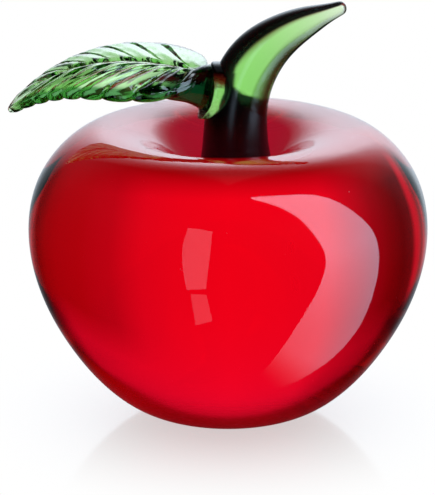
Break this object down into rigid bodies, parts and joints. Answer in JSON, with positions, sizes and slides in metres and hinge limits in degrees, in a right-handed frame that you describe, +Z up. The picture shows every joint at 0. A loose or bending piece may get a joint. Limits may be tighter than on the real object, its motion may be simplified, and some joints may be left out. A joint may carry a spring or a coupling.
{
  "type": "glass apple",
  "caption": "Solid glass apple ornament: a rounded body with a ground foot, a curled horn stem set in its dimple, and a pressed, ribbed leaf on the stem's side.",
  "frame": {"origin": "centre of the flat ground foot, on the surface that the apple stands on", "axes": "+Z up along the body's axis, +X towards the side that the stem curls over to, -X towards the leaf"},
  "size_m": [0.0833, 0.08, 0.0851],
  "materials": {
    "red_glass": "fire-polished, clear, solid red",
    "dark_green_glass": "fire-polished, clear, deep green",
    "leaf_green_glass": "fire-polished, clear, pressed with ribs"
  },
  "bodies": {
    "root": {"body": "red_glass", "stem": "dark_green_glass", "leaf_pad": "leaf_green_glass", "leaf": "leaf_green_glass"}
  },
  "joints": []
}
